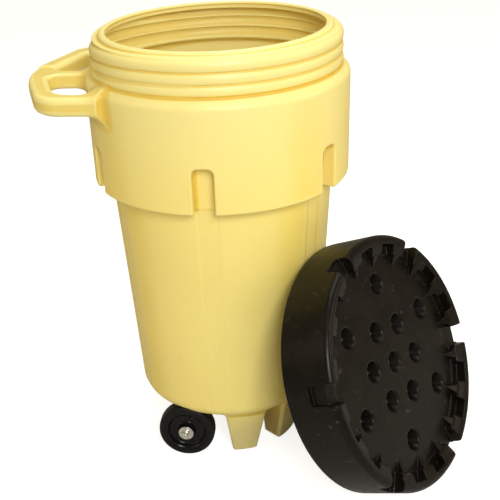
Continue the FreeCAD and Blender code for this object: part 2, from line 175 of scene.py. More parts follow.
def close_pole(points, quads):
    """Caps the small round holes that the grid leaves at the axis, one for each height."""
    edges = np.concatenate([quads[:, [0, 1]], quads[:, [1, 2]], quads[:, [2, 3]], quads[:, [3, 0]]])
    key = np.sort(edges, 1)
    _, first, uses = np.unique(key, axis=0, return_index=True, return_counts=True)
    rim = edges[first[uses == 1]]
    if len(rim) == 0:
        return points, np.zeros((0, 3), np.int64)
    heights = points[rim[:, 0], 2]
    triangles = []
    while len(rim):
        near = np.abs(heights - heights[0]) < POLE_GAP
        loop = rim[near]
        centre = points[loop[:, 0]].mean(0)
        points = np.vstack([points, centre])
        hub = np.full(len(loop), len(points) - 1)
        triangles.append(np.stack([loop[:, 1], loop[:, 0], hub], 1))
        rim, heights = rim[~near], heights[~near]
    return points, np.concatenate(triangles)


def mesh_solid(distance, angles, radii, heights):
    """Meshes a solid given by its signed distance (x, y, z), and settles the points on its surface.

    Returns points, quads, triangles and the surface's slope at each point.
    """
    a = angles[:, None, None].astype(np.float32)
    r = radii[None, :, None].astype(np.float32)
    z = heights[None, None, :].astype(np.float32)
    shape = (len(angles), len(radii), len(heights))
    field = np.broadcast_to(distance(r * np.cos(a), r * np.sin(a), z), shape)
    at, quads = surface_net(np.ascontiguousarray(field), angles, radii, heights)
    points = np.stack([at[:, 1] * np.cos(at[:, 0]), at[:, 1] * np.sin(at[:, 0]), at[:, 2]], 1)
    for _ in range(SETTLE_ROUNDS):
        value = distance(*points.T)
        slope = slope_of(distance, points, SETTLE_STEP)
        size = np.maximum((slope ** 2).sum(1), 0.25)
        move = slope * (value / size)[:, None]
        length = np.linalg.norm(move, axis=1)
        move *= np.minimum(1, SETTLE_LIMIT / np.maximum(length, 1e-9))[:, None]
        points = points - move * SETTLE_SHARE
    points, triangles = close_pole(points, quads)
    return points, quads, triangles, slope_of(distance, points, NORMAL_STEP)


def add_object(name, data):
    ob = bpy.data.objects.new(name, data)
    bpy.context.scene.collection.objects.link(ob)
    return ob


def slope_of(distance, points, step):
    """Gradient of a distance at each point."""
    x, y, z = points.T
    return np.stack([distance(x + step, y, z) - distance(x - step, y, z),
                     distance(x, y + step, z) - distance(x, y - step, z),
                     distance(x, y, z + step) - distance(x, y, z - step)], 1) / (2 * step)


def make_mesh(name, points, quads, triangles=None, normals=None):
    """A smooth-shaded mesh object from points in millimetres."""
    me = bpy.data.meshes.new(name)
    faces = 0 if triangles is None else len(triangles)
    me.vertices.add(len(points))
    me.vertices.foreach_set("co", (points * MM).astype(np.float32).ravel())
    loops = quads.ravel() if not faces else np.concatenate([quads.ravel(), triangles.ravel()])
    starts = np.arange(len(quads)) * 4
    sizes = np.full(len(quads), 4)
    if faces:
        starts = np.concatenate([starts, len(quads) * 4 + np.arange(faces) * 3])
        sizes = np.concatenate([sizes, np.full(faces, 3)])
    me.loops.add(len(loops))
    me.loops.foreach_set("vertex_index", loops.astype(np.int32))
    me.polygons.add(len(starts))
    me.polygons.foreach_set("loop_start", starts.astype(np.int32))
    me.polygons.foreach_set("loop_total", sizes.astype(np.int32))
    me.update(calc_edges=True)
    me.validate()
    me.shade_smooth()
    if normals is not None:
        unit = normals / np.maximum(np.linalg.norm(normals, axis=1), 1e-6)[:, None]
        me.normals_split_custom_set_from_vertices(unit.astype(np.float32))
    return add_object(name, me)


# ---------------------------------------------------------------------------------------------
# Drum shell
# ---------------------------------------------------------------------------------------------

WALL = 6.0
BODY_LOW = 140.0
BODY_LOW_RADIUS, BODY_HIGH_RADIUS = 236.5, 274.6
SKIRT_LOW = 738.0
SKIRT_LOW_RADIUS, SKIRT_HIGH_RADIUS = 315.5, 318.2
SHOULDER = 1003.5
NECK_RADIUS, NECK_TOP = 293.0, 1089.0
LIP_RADIUS, LIP_Z, LIP_ROUND, LIP_TOP = 270.0, 1091.3, 8.5, 1099.0
MOUTH_RADIUS = 261.6

PITCH = 27.0
THREAD_TOP = 1073.0
THREAD_CENTRE_RADIUS = 282.8
THREAD_THICK = 19.0
THREAD_BEARING = 115.0

NOTCH_BEARINGS = [30 + 60 * k for k in range(6)]
NOTCH_HALF = 24.5
NOTCH_TOP = 849.5
NOTCH_ROUND = 15.0

HANDLE_CANT = math.radians(2.0)
HANDLE_Z = 971.0
HANDLE_HALF = 23.0
HANDLE_END = 467.0
HANDLE_SIDE = 224.0
HANDLE_CORNER = 50.0
HANDLE_ROOT = -250.0
HANDLE_BAR = 56.0
FLANK_BAR = 48.0
HOLE_SIDE = 183.0
WEB_HALF = 15.0
DIP = 4.5

FOOT_LOW_RADIUS, FOOT_HIGH_RADIUS, FOOT_INNER = 178.0, 217.0, 124.0
FEET = ((-72.7, 33.0), (-25.5, 44.0), (25.5, 44.0), (72.7, 33.0))   # bearing, half width at the floor

AXLE_X, AXLE_Z = -98.0, 74.0
LUG_SIDE, LUG_HALF, LUG_FORE, LUG_LOW = 118.0, 22.0, 46.0, 47.0
LUG_BORE = 8.6
WHEEL_ROOM_RADIUS, WHEEL_ROOM_SIDE = 79.0, 152.5


def thread_turn(bearing):
    """Degrees round from where the thread starts to rise."""
    return (bearing - THREAD_BEARING) % 360


def drum_form(x, y, z):
    """The drum's moulded outside, as a filled solid, without handle, feet and lugs."""
    r = np.hypot(x, y)
    turn = thread_turn(np.degrees(np.arctan2(y, x)))
    side = right_of(r, z, BODY_LOW_RADIUS, BODY_LOW, BODY_HIGH_RADIUS, SKIRT_LOW)
    body = rmax(side, BODY_LOW - z, 33.0)
    body = np.maximum(body, z - 775.0)
    side = right_of(r, z, SKIRT_LOW_RADIUS, SKIRT_LOW, SKIRT_HIGH_RADIUS, 978.0)
    skirt = rmax(side, SKIRT_LOW - z, 7.0)
    skirt = rmax(skirt, z - SHOULDER, 24.0)
    form = smin(body, skirt, 5.0)
    sunk = PITCH * (1 - smoothstep(turn / 140.0)) * (turn < 140.0)
    neck = np.maximum(r - NECK_RADIUS, np.maximum(z - NECK_TOP, 980.0 - z))
    form = smin(form, neck, 7.0)
    for level in range(4):
        height = THREAD_TOP + PITCH - PITCH * level - sunk
        thick = THREAD_THICK
        soft = 2.0
        if level == 0:      # the thread's upper end runs out into the neck
            thick = THREAD_THICK * (1 - smoothstep(turn / 55.0)) - 40.0 * (turn > 55.0)
        if level == 3:      # and its lower end grows out of the shoulder
            thick = THREAD_THICK * smoothstep(turn / 90.0)
            soft = 2.0 + 5.0 * (1 - smoothstep((turn - 149.0) / 4.0))
        ring = np.hypot(r - THREAD_CENTRE_RADIUS, z - height) - thick
        form = smin(form, ring, soft)
    lip = np.hypot(r - LIP_RADIUS, z - LIP_Z) - LIP_ROUND
    lip = smin(lip, np.maximum(r - LIP_RADIUS, z - LIP_TOP), 2.0)
    form = smin(form, np.maximum(lip, 1060.0 - z), 3.0)
    for bearing in NOTCH_BEARINGS:
        out, side = at_bearing(x, y, bearing)
        arch = rmax(side - NOTCH_HALF, z - NOTCH_TOP, NOTCH_ROUND)
        floor = 274.9 + (z - SKIRT_LOW) * 0.064 - r
        notch = np.maximum(rmax(arch, floor, 4.0), 60.0 - out)
        form = smax(form, -notch, 6.0)
    return form


def handle_form(x, y, z):
    """The pull handle: a bowed loop with a middle web, two hand holes and a shallow dip along its top."""
    c, s = math.cos(HANDLE_CANT), math.sin(HANDLE_CANT)
    across = y * c + (z - HANDLE_Z) * s
    up = (z - HANDLE_Z) * c - y * s
    side = np.abs(across)
    flank = -0.928 * (x + 433.0) + 0.371 * (side - 80.0) - 14.0
    nose = -HANDLE_END - x
    outline = rmax(rmax(nose, flank, 16.0), side - HANDLE_SIDE, HANDLE_CORNER)
    hole = rmax(np.maximum(flank + FLANK_BAR, nose + HANDLE_BAR), side - HOLE_SIDE, 35.0)
    hole = rmax(hole, WEB_HALF - side, 28.0)
    plan = np.maximum(outline, -hole)
    dip = DIP * smoothstep((across + 162.0) / 13.0) * smoothstep((46.0 - across) / 13.0)
    edge = 14.0 - 8.0 * smoothstep((38.0 - side) / 14.0) * smoothstep((x + 432.0) / 20.0)
    loop = rmax(plan, up - HANDLE_HALF + dip, edge)
    loop = rmax(loop, -up - HANDLE_HALF, 14.0)
    return np.maximum(loop, x - HANDLE_ROOT)


def foot_form(x, y, z):
    """The ring of front feet with arched slots between them."""
    r = np.hypot(x, y)
    outer = right_of(r, z, FOOT_LOW_RADIUS, 0.0, FOOT_HIGH_RADIUS, BODY_LOW)
    ring = rmax(rmax(outer, FOOT_INNER - r, 8.0), 0.4 - z, 5.0)
    ring = np.maximum(ring, z - 150.0)
    feet = None
    for bearing, half in FEET:
        out, side = at_bearing(x, y, bearing)
        spread = side - half - z * 0.107 - (r - FOOT_LOW_RADIUS) * (half / FOOT_LOW_RADIUS)
        foot = np.maximum(spread * 0.97, 60.0 - out)
        feet = foot if feet is None else np.minimum(feet, foot)
    return rmax(ring, feet, 7.0)


def lug_form(x, y, z):
    """Two moulded lugs under the back that hold the axle."""
    side = np.abs(np.abs(y) - LUG_SIDE) - LUG_HALF
    fore = np.abs(x - AXLE_X) - LUG_FORE
    block = rmax(side, fore, 12.0)
    bore = LUG_BORE - np.hypot(x - AXLE_X, z - AXLE_Z)
    return np.maximum(rmax(block, LUG_LOW - z, 8.0) + np.maximum(z - 160.0, 0), bore)


def wheel_room(x, y, z):
    """The relief over each wheel."""
    room = np.hypot(x - AXLE_X, z - AXLE_Z) - WHEEL_ROOM_RADIUS
    return rmax(room, WHEEL_ROOM_SIDE - np.abs(y), 6.0)


def drum_solid(x, y, z):
    """The whole drum moulding: its outside less its inside and its mouth."""
    r = np.hypot(x, y)
    form = drum_form(x, y, z)
    feet = foot_form(x, y, z)
    closed = smin(form, feet, 14.0)
    outside = smin(closed, lug_form(x, y, z), 10.0)
    outside = smin(outside, handle_form(x, y, z), 38.0)
    outside = smax(outside, -wheel_room(x, y, z), 5.0)
    hollow = np.maximum(closed + WALL, WALL - wheel_room(x, y, z))
    mouth = np.maximum(r - MOUTH_RADIUS, 1075.0 - z)
    hollow = smin(hollow, mouth, 4.0)
    return smax(outside, -hollow, 2.0)


def make_drum():
    notch_edges = [(bearing + e, 1.3, 0.35) for bearing in NOTCH_BEARINGS for e in (-4.7, 4.7)]
    angles = angle_grid(1.25, notch_edges + [(180.0, 44.0, 0.6)])
    radii = axis_zones((2, 102, 20), (102, 117, 5), (117, 131, 2.3), (131, 168, 5), (168, 236, 3.4),
                       (236, 258, 2.8), (258, 325, 2.1), (325, 472, 3.2))
    heights = axis_zones((-3, 12, 1.5), (12, 115, 5), (115, 160, 2.6), (160, 184, 4), (184, 724, 12),
                         (724, 733, 3), (733, 748, 1.25), (748, 834, 6), (834, 855, 1.8), (855, 908, 6),
                         (908, 976, 2.8), (976, 1008, 2.1), (1008, 1104, 1.4))
    drum = make_mesh("drum", *mesh_solid(drum_solid, angles, radii, heights))
    mark_creases(drum, drum_solid, 9.0)
    finish_piece(drum, "drum_shell", "drum", yellow_poly())


# ---------------------------------------------------------------------------------------------
# Lid, shaped in its own frame: z = 0 on the recessed face, +z outwards
# ---------------------------------------------------------------------------------------------

LID_RADIUS = 309.3
LID_SKIRT = 102.0
RIM_TOP = 31.0
RIM_INNER = 262.0
RIM_BACK = 240.0            # how far in towards the middle the rim's cuts reach
BEARINGS = 18
DIMPLE_PITCH = 97.0
DIMPLE_DEPTH = 30.0
LID_THREAD_START = -46.0
LID_THREAD_THICK = 9.0
LID_CENTRE = Vector((0.43326, -0.23037, 0.32450))   # middle of the recessed face, metres
LID_TURN = math.radians(17.4)


def lid_placement():
    """Where the lid stands: its axis is the axis of the joint that lifts it away."""
    axis = Vector(next(j for j in frame["joints"] if j["name"] == "lid_lift")["axis"]).normalized()
    bearing = math.atan2(axis.y, axis.x)
    turn = (Matrix.Rotation(bearing, 4, "Z") @ Matrix.Rotation(math.acos(axis.z), 4, "Y")
            @ Matrix.Rotation(LID_TURN, 4, "Z"))
    return Matrix.Translation(LID_CENTRE) @ turn


def lid_form(x, y, z):
    """The outside of the lid as a filled solid that goes on below the skirt's edge."""
    r = np.hypot(x, y)
    form = rmax(r - LID_RADIUS, z - RIM_TOP, 17.0)
    form = smax(form, 0.95 * (z - RIM_TOP + 0.33 * (293.0 - np.maximum(r, 256.0))), 6.0)
    recess = rmax(r - RIM_INNER, -z, 3.0)
    form = smax(form, -recess, 6.0)
    for k in range(BEARINGS):
        out, side = at_bearing(x, y, 360 // BEARINGS * k)
        if k % 3 == 0:      # a notch through the rim, with a pocket down the side under it
            notch = rmax(side - 25.0, 0.4 - z, 4.0)
            form = smax(form, -np.maximum(notch, RIM_BACK - out), 3.0)
            reach_down = 38.0 if k % 6 == 0 else 9.0
            pocket = rmax(rmax(side - 22.0, 297.5 - out, 3.0), -reach_down - z, 4.0)
            form = smax(form, -pocket, 2.5)
        else:               # a blind pocket in the rim
            pocket = rmax(rmax(side - 25.0, out - 285.0, 3.0), 2.5 - z, 3.0)
            form = smax(form, -np.maximum(pocket, RIM_BACK - out), 2.0)
        out, side = at_bearing(x, y, 360 // BEARINGS * k + 180 // BEARINGS)
        slope = (RIM_INNER - out) / 30.0
        gusset = np.maximum(0.85 * (z - 18.0 + 18.0 * slope), 0.92 * (side - 11.5 + 11.5 * slope))
        form = smin(form, np.maximum(gusset, np.maximum(out - RIM_INNER - 6.0, -z - 3.0)), 1.5)
    inner = [(1.0, 60.0 * k) for k in range(6)]
    outer = [(2.0, 30.0 + 60.0 * k) for k in range(6)]
    for steps, angle in [(0.0, 0.0)] + inner + outer:
        cx = steps * DIMPLE_PITCH * math.cos(math.radians(angle))
        cy = steps * DIMPLE_PITCH * math.sin(math.radians(angle))
        away = np.hypot(x - cx, y - cy)
        cone = rmax(right_of(away, z, 12.5, -DIMPLE_DEPTH, 26.0, 0.0), -DIMPLE_DEPTH - z, 5.0)
        form = smax(form, -cone, 4.0)
    return form


def lid_solid(x, y, z):
    """The lid moulding: its outside, hollow below, with the thread inside its skirt."""
    form = lid_form(x, y, z)
    shell = smax(np.maximum(form, -LID_SKIRT - z), -(form + WALL), 2.0)
    r = np.hypot(x, y)
    turn = np.degrees(np.arctan2(y, x)) % 360
    for level in range(2):
        height = LID_THREAD_START - PITCH * (level + turn / 360.0)
        full = 1 - smoothstep((turn - 240.0) / 40.0) if level else smoothstep(turn / 40.0)
        thick = LID_THREAD_THICK * full
        ridge = np.hypot(r - 307.5, z - height) - thick
        shell = smin(shell, np.maximum(ridge, r - 308.0), 2.0)
    return shell


def make_lid():
    angles = angle_grid(0.8, [])
    radii = axis_zones((2, 12, 5), (12, 122, 2.6), (122, 168, 5), (168, 222, 2.6), (222, 236, 3.5),
                       (236, 294, 2.2), (294, 313, 1.6))
    heights = axis_zones((-106, -96, 1.6), (-96, -42, 2.4), (-42, -30, 2), (-30, -8, 3), (-8, 34, 1.8))
    lid = make_mesh("lid", *mesh_solid(lid_solid, angles, radii, heights))
    mark_creases(lid, lid_solid, 6.0)
    lid.data.transform(lid_placement())
    finish_piece(lid, "lid_shell", "lid", black_poly())


# ---------------------------------------------------------------------------------------------
# Turned pieces: gasket, wheels, washers, axle
# ---------------------------------------------------------------------------------------------

WHEEL_CENTRE = 182.4
HUB_HALF = 25.2
BUSH_BORE, BUSH_OUTER = 8.1, 11.0
WASHER_CENTRES = (("outer_washer_", 209.15), ("inner_washer_", 155.65))
WASHER_BORE, WASHER_OUTER, WASHER_HALF = 8.45, 19.5, 1.25
AXLE_END = 225.0
PIN_CENTRE = 213.7

def fillet(outline, radii, steps=5):
    """A closed outline of (radius, along) corners with each corner rounded to its own radius."""
    points = []
    count = len(outline)
    for k in range(count):
        here = np.array(outline[k], float)
        before = np.array(outline[k - 1], float) - here
        after = np.array(outline[(k + 1) % count], float) - here
        la, lb = np.linalg.norm(before), np.linalg.norm(after)
        before, after = before / la, after / lb
        half = math.acos(max(-1.0, min(1.0, float(before @ after)))) / 2
        radius = min(radii[k], 0.48 * min(la, lb) * math.tan(half))
        if radius < 0.02 or half > 1.55:
            points.append(here)
            continue
        centre = here + (before + after) / np.linalg.norm(before + after) * radius / math.sin(half)
        start = here + before * radius / math.tan(half) - centre
        end = here + after * radius / math.tan(half) - centre
        sweep = math.pi - 2 * half
        for i in range(steps + 1):
            t = i / steps
            points.append(centre + (math.sin((1 - t) * sweep) * start + math.sin(t * sweep) * end)
                          / math.sin(sweep))
    return np.array(points)


def lathe(name, outline, turns=128, ripple=None):
    """Turns a closed (radius, along) outline about Y. ripple(angle, radius, along) moves radius and along."""
    angles = np.arange(turns) * 2 * math.pi / turns
    count = len(outline)
    radius = np.tile(outline[:, 0], (turns, 1))
    along = np.tile(outline[:, 1], (turns, 1))
    if ripple is not None:
        radius, along = ripple(angles[:, None], radius, along)
    points = np.stack([radius * np.cos(angles)[:, None], along, radius * np.sin(angles)[:, None]], 2)
    i, j = np.meshgrid(np.arange(turns), np.arange(count), indexing="ij")
    i2, j2 = (i + 1) % turns, (j + 1) % count
    quads = np.stack([i * count + j, i * count + j2, i2 * count + j2, i2 * count + j], 2).reshape(-1, 4)
    x, y = outline[:, 0], outline[:, 1]
    clockwise = float(np.sum(x * np.roll(y, -1) - np.roll(x, -1) * y)) < 0
    if clockwise:
        quads = quads[:, ::-1]
    return make_mesh(name, points.reshape(-1, 3), quads)


def on_axle(ob, sign, centre):
    """Puts a turned piece on the axle; its outward side faces away from the drum."""
    flip = Matrix.Rotation(0.0 if sign > 0 else math.pi, 4, "Z")
    ob.data.transform(Matrix.Translation((AXLE_X * MM, sign * centre * MM, AXLE_Z * MM)) @ flip)


def finish_piece(ob, node, body, material):
    """Hides the node a piece stands in for, puts the piece on its body, and gives it its material."""
    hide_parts(node)
    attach(ob, body)
    ob.data.materials.append(material)


def tyre_outline():
    corners = [(58.2, -21.6), (66.0, -22.0), (72.2, -18.5), (74.0, -9.0), (74.0, 9.0), (72.2, 18.5),
               (66.0, 22.0), (58.2, 21.6)]
    return fillet(corners, [0.8, 5, 6, 12, 12, 6, 5, 0.8])


def tread_ripple(angle, radius, along):
    """A shallow groove on each side of the tread, the same all the way round."""
    tread = smoothstep((radius - 72.0) / 1.5)
    groove = 0.9 * np.exp(-((np.abs(along) - 8.0) / 1.1) ** 2)
    return radius - tread * groove, along


def hub_outline():
    face = [(11.2, HUB_HALF), (19.5, HUB_HALF), (20.0, 17.0), (24.0, 9.0), (44.0, 8.0), (50.0, 17.5),
            (52.5, 20.0), (58.0, 20.0)]
    rounds = [0.6, 1.6, 3, 5, 7, 2, 2, 0.8]
    return fillet(face + [(radius, -along) for radius, along in face[::-1]], rounds + rounds[::-1])


def hub_ripple(angle, radius, along):
    """Six shallow moulded pads on the dish."""
    dish = smoothstep((radius - 25.0) / 3.0) * smoothstep((43.0 - radius) / 3.0)
    pads = smoothstep((np.cos(6 * angle) - 0.2) / 0.35)
    return radius, along + np.sign(along) * 1.1 * dish * pads


def ring_outline(bore, outer, low, high, edge):
    """A flat ring's outline with its edges broken."""
    return fillet([(bore, low), (outer, low), (outer, high), (bore, high)], [edge] * 4, 3)


def make_wheels():
    tyre_look, hub_look, bush_look = black_tyre(), black_hub(), nylon()
    for tag, sign in SIDES.items():
        body = "wheel_" + tag
        tyre = lathe("tyre_" + tag + "_visual", dense(tyre_outline(), 1.2), 160, tread_ripple)
        on_axle(tyre, sign, WHEEL_CENTRE)
        finish_piece(tyre, "tyre_" + tag, body, tyre_look)
        hub = lathe("hub_" + tag + "_visual", dense(hub_outline(), 2.0), 144, hub_ripple)
        on_axle(hub, sign, WHEEL_CENTRE)
        finish_piece(hub, "wheel_hub_" + tag, body, hub_look)
        bush = lathe("bush_" + tag + "_visual",
                     ring_outline(BUSH_BORE, BUSH_OUTER, -HUB_HALF, HUB_HALF, 0.6), 64)
        on_axle(bush, sign, WHEEL_CENTRE)
        finish_piece(bush, "wheel_bush_" + tag, body, bush_look)


def dense(outline, step):
    """Adds points along the long runs of an outline."""
    points = []
    for k in range(len(outline)):
        here, there = outline[k], outline[(k + 1) % len(outline)]
        parts = max(1, int(np.linalg.norm(there - here) / step))
        for i in range(parts):
            points.append(here + (there - here) * i / parts)
    return np.array(points)


def make_hardware():
    steel = zinc_steel()
    for tag, sign in SIDES.items():
        for name, centre in WASHER_CENTRES:
            washer = lathe(name + tag + "_visual",
                           ring_outline(WASHER_BORE, WASHER_OUTER, -WASHER_HALF, WASHER_HALF, 0.45), 96)
            on_axle(washer, sign, centre)
            finish_piece(washer, name + tag, "drum", steel)
        pin = cotter_pin("cotter_pin_" + tag + "_visual", sign)
        finish_piece(pin, "cotter_pin_" + tag, "drum", steel)
    corners = [(0.01, -AXLE_END), (6.6, -AXLE_END), (8.0, -223.4),
               (8.0, 223.4), (6.6, AXLE_END), (0.01, AXLE_END)]
    rod = lathe("axle_visual", fillet(corners, [0, 0.5, 0.5, 0.5, 0.5, 0], 2), 64)
    on_axle(rod, 1, 0.0)
    finish_piece(rod, "axle", "drum", steel)


def cotter_pin(name, sign):
    """A split pin: one wire that runs up, round an eye and down again, with its longer tip bent out."""
    wire, eye, eye_z = 0.78, 3.4, 88.4
    path = [(-4.6, 61.6), (-2.6, 63.0), (-1.0, 66.0), (-0.82, 72.0), (-0.82, 78.0), (-0.82, 83.5)]
    for k in range(13):
        t = math.radians(-112.0 - 316.0 * k / 12.0)
        path.append((eye * math.cos(t), eye_z + eye * math.sin(t)))
    path += [(0.82, 83.5), (0.82, 78.0), (0.82, 72.0), (0.9, 66.0), (1.4, 63.0), (2.0, 61.8)]
    curve = bpy.data.curves.new(name, "CURVE")
    curve.dimensions = "3D"
    spline = curve.splines.new("NURBS")
    spline.points.add(len(path) - 1)
    for point, (across, z) in zip(spline.points, path):
        point.co = (across * MM, 0, z * MM, 1)
    spline.order_u = 3
    spline.use_endpoint_u = True
    spline.resolution_u = 5
    curve.bevel_depth = wire * MM
    curve.bevel_resolution = 4
    curve.use_fill_caps = True
    rough = add_object(name + "_curve", curve)
    bpy.context.view_layer.update()
    me = bpy.data.meshes.new_from_object(rough.evaluated_get(bpy.context.evaluated_depsgraph_get()))
    bpy.data.objects.remove(rough)
    me.transform(Matrix.Translation((AXLE_X * MM, sign * PIN_CENTRE * MM, 0)))
    me.materials.clear()
    me.shade_smooth()
    return add_object(name, me)


def make_gasket():
    def lumps(angle, radius, along):
        return radius, along + 0.25 * np.sin(7 * angle) * np.cos(11 * angle)
    gasket = lathe("gasket", ring_outline(258.4, 285.6, -13.7, -6.3, 1.6), 240, lumps)
    gasket.data.transform(lid_placement() @ Matrix.Rotation(math.radians(90), 4, "X"))
    finish_piece(gasket, "lid_gasket", "lid", gasket_rubber())


# ---------------------------------------------------------------------------------------------
# Materials
# ---------------------------------------------------------------------------------------------

def mark_creases(ob, distance, reach):
    """Stores how deep in a corner (crease) and how sharply bent outwards (crest) each point is."""
    me = ob.data
    count = len(me.vertices)
    at = np.zeros(count * 3, np.float32)
    me.vertices.foreach_get("co", at)
    at = at.reshape(-1, 3).astype(float) / MM
    step = 4.0
    slope = slope_of(distance, at, NORMAL_STEP)
    normal = slope / np.maximum(np.linalg.norm(slope, axis=1), 1e-6)[:, None]
    crease = np.clip((reach - distance(*(at + normal * reach).T)) / reach, 0, 1)
    around = sum(distance(*(at + np.array(d) * step).T) for d in
                 ((1, 0, 0), (-1, 0, 0), (0, 1, 0), (0, -1, 0), (0, 0, 1), (0, 0, -1)))
    crest = np.clip(around / step ** 2 * 12.0, 0, 1)
    for name, values in (("crease", crease), ("crest", crest)):
        layer = me.attributes.new(name, "FLOAT", "POINT")
        layer.data.foreach_set("value", values.astype(np.float32))


class Look:
    """A material's node tree with short ways to add nodes."""

    def __init__(self, name, roughness, specular=0.5):
        self.material = bpy.data.materials.new(name)
        self.material.use_nodes = True
        self.tree = self.material.node_tree
        self.shader = self.tree.nodes["Principled BSDF"]
        self.shader.inputs["Roughness"].default_value = roughness
        self.shader.inputs["Specular IOR Level"].default_value = specular
        self.place = self.tree.nodes.new("ShaderNodeTexCoord").outputs["Object"]

    def link(self, source, socket):
        if isinstance(source, (int, float)):
            socket.default_value = source
        elif isinstance(source, tuple):
            socket.default_value = (*source, 1.0)
        else:
            self.tree.links.new(source, socket)

    def noise(self, scale, detail=3.0, roughness=0.5, stretch=None):
        node = self.tree.nodes.new("ShaderNodeTexNoise")
        node.inputs["Scale"].default_value = scale
        node.inputs["Detail"].default_value = detail
        node.inputs["Roughness"].default_value = roughness
        place = self.place
        if stretch is not None:
            mapping = self.tree.nodes.new("ShaderNodeMapping")
            mapping.inputs["Scale"].default_value = stretch
            self.tree.links.new(place, mapping.inputs["Vector"])
            place = mapping.outputs["Vector"]
        self.tree.links.new(place, node.inputs["Vector"])
        return node.outputs["Fac"]

    def attribute(self, name):
        node = self.tree.nodes.new("ShaderNodeAttribute")
        node.attribute_name = name
        return node.outputs["Fac"]

    def height(self):
        node = self.tree.nodes.new("ShaderNodeSeparateXYZ")
        self.tree.links.new(self.place, node.inputs[0])
        return node.outputs["Z"]

    def ramp(self, source, low, high, to_low=0.0, to_high=1.0):
        node = self.tree.nodes.new("ShaderNodeMapRange")
        node.interpolation_type = "SMOOTHSTEP"
        self.link(source, node.inputs["Value"])
        for socket, value in (("From Min", low), ("From Max", high), ("To Min", to_low), ("To Max", to_high)):
            node.inputs[socket].default_value = value
        return node.outputs["Result"]

    def maths(self, kind, a, b):
        node = self.tree.nodes.new("ShaderNodeMath")
        node.operation = kind
        self.link(a, node.inputs[0])
        self.link(b, node.inputs[1])
        return node.outputs[0]

    def share(self, source, part):
        return self.maths("MULTIPLY", source, part)

    def mix(self, share, a, b):
        node = self.tree.nodes.new("ShaderNodeMix")
        node.data_type = "RGBA"
        self.link(share, node.inputs[0])
        self.link(a, node.inputs[6])
        self.link(b, node.inputs[7])
        return node.outputs[2]

    def colour(self, source):
        self.link(source, self.shader.inputs["Base Color"])

    def roughness(self, source):
        self.link(source, self.shader.inputs["Roughness"])

    def bump(self, *layers):
        """Stacks (source, distance in metres, strength) bumps onto the shader's normal."""
        normal = None
        for source, distance, strength in layers:
            node = self.tree.nodes.new("ShaderNodeBump")
            node.inputs["Distance"].default_value = distance
            node.inputs["Strength"].default_value = strength
            self.link(source, node.inputs["Height"])
            if normal is not None:
                self.tree.links.new(normal, node.inputs["Normal"])
            normal = node.outputs["Normal"]
        self.tree.links.new(normal, self.shader.inputs["Normal"])


def yellow_poly():
    """Rotation-moulded yellow polyethylene: waxy, cloudy and lightly scuffed, with painted shade, darker and
    golden, in its corners and towards its feet, and painted light, paler, on its top and crests.
    """
    look = Look("yellow_poly", 0.42)
    cloudy = look.noise(5.0, 4.0, 0.55)
    deep_yellow, soft_yellow = (0.85, 0.605, 0.036), (0.89, 0.650, 0.056)
    # colours of the painted shade towards the floor and of the painted light on the top
    painted_low_shade, painted_top_light = (0.48, 0.335, 0.095), (0.83, 0.685, 0.230)
    # colours of the painted highlight on crests and of the painted shade in creases
    painted_crest_highlight, painted_crease_shade = (0.95, 0.88, 0.40), (0.76, 0.50, 0.04)
    speck_brown, grime_tan = (0.42, 0.30, 0.08), (0.62, 0.52, 0.27)
    base = look.mix(look.ramp(cloudy, 0.35, 0.65), deep_yellow, soft_yellow)
    # painted shade: the yellow turns darker and browner towards the floor, round the feet and under the body
    base = look.mix(look.ramp(look.height(), 0.06, 0.17, 0.95, 0.0), base, painted_low_shade)
    # painted light: the yellow turns paler towards the top of the drum
    base = look.mix(look.ramp(look.height(), 0.70, 1.08, 0.0, 0.9), base, painted_top_light)
    # painted highlight: pale yellow on outward bends such as the thread crests and the lip
    base = look.mix(look.ramp(look.attribute("crest"), 0.1, 0.8, 0.0, 0.55), base, painted_crest_highlight)
    # painted shade: darker golden yellow in creases and corners
    base = look.mix(look.ramp(look.attribute("crease"), 0.12, 0.50, 0.0, 0.60), base, painted_crease_shade)
    speck = look.ramp(look.noise(210.0, 2.0), 0.70, 0.78)
    base = look.mix(look.share(speck, 0.14), base, speck_brown)
    scuffs = look.ramp(look.noise(38.0, 6.0, 0.65, (1.0, 1.0, 0.25)), 0.62, 0.80)
    look.colour(look.mix(look.share(scuffs, 0.16), base, grime_tan))
    look.roughness(look.maths("ADD", look.ramp(cloudy, 0.3, 0.7, 0.36, 0.46), look.share(scuffs, 0.14)))
    look.bump((look.noise(9.0, 2.0), 0.0030, 0.35), (look.noise(420.0, 2.0), 0.00035, 0.35),
              (scuffs, 0.0003, 0.3))
    shader = look.shader
    shader.inputs["Subsurface Weight"].default_value = 0.10
    shader.inputs["Subsurface Radius"].default_value = (1.0, 0.6, 0.15)
    shader.inputs["Subsurface Scale"].default_value = 0.006
    return look.material


def black_poly():
    """Black polyethylene with a soft shine, whitened scuffs on its edges and fine handling marks."""
    look = Look("black_poly", 0.32, 0.15)
    cloudy = look.noise(14.0, 5.0, 0.6)
    deep_black, soft_black = (0.0044, 0.0032, 0.0025), (0.0064, 0.0049, 0.0038)
    base = look.mix(look.ramp(cloudy, 0.35, 0.65), deep_black, soft_black)
    marks = look.ramp(look.noise(55.0, 7.0, 0.7, (1.0, 0.35, 1.6)), 0.60, 0.72)
    worn = look.maths("MULTIPLY", look.ramp(look.attribute("crest"), 0.3, 0.95), marks)
    base = look.mix(look.share(marks, 0.14), base, (0.040, 0.036, 0.032))
    look.colour(look.mix(look.share(worn, 0.6), base, (0.10, 0.092, 0.085)))
    look.roughness(look.maths("ADD", look.ramp(cloudy, 0.3, 0.7, 0.27, 0.37), look.share(marks, 0.18)))
    look.bump((look.noise(11.0, 2.0), 0.0025, 0.3), (look.noise(380.0, 2.0), 0.00035, 0.35),
              (marks, 0.0002, 0.4))
    return look.material


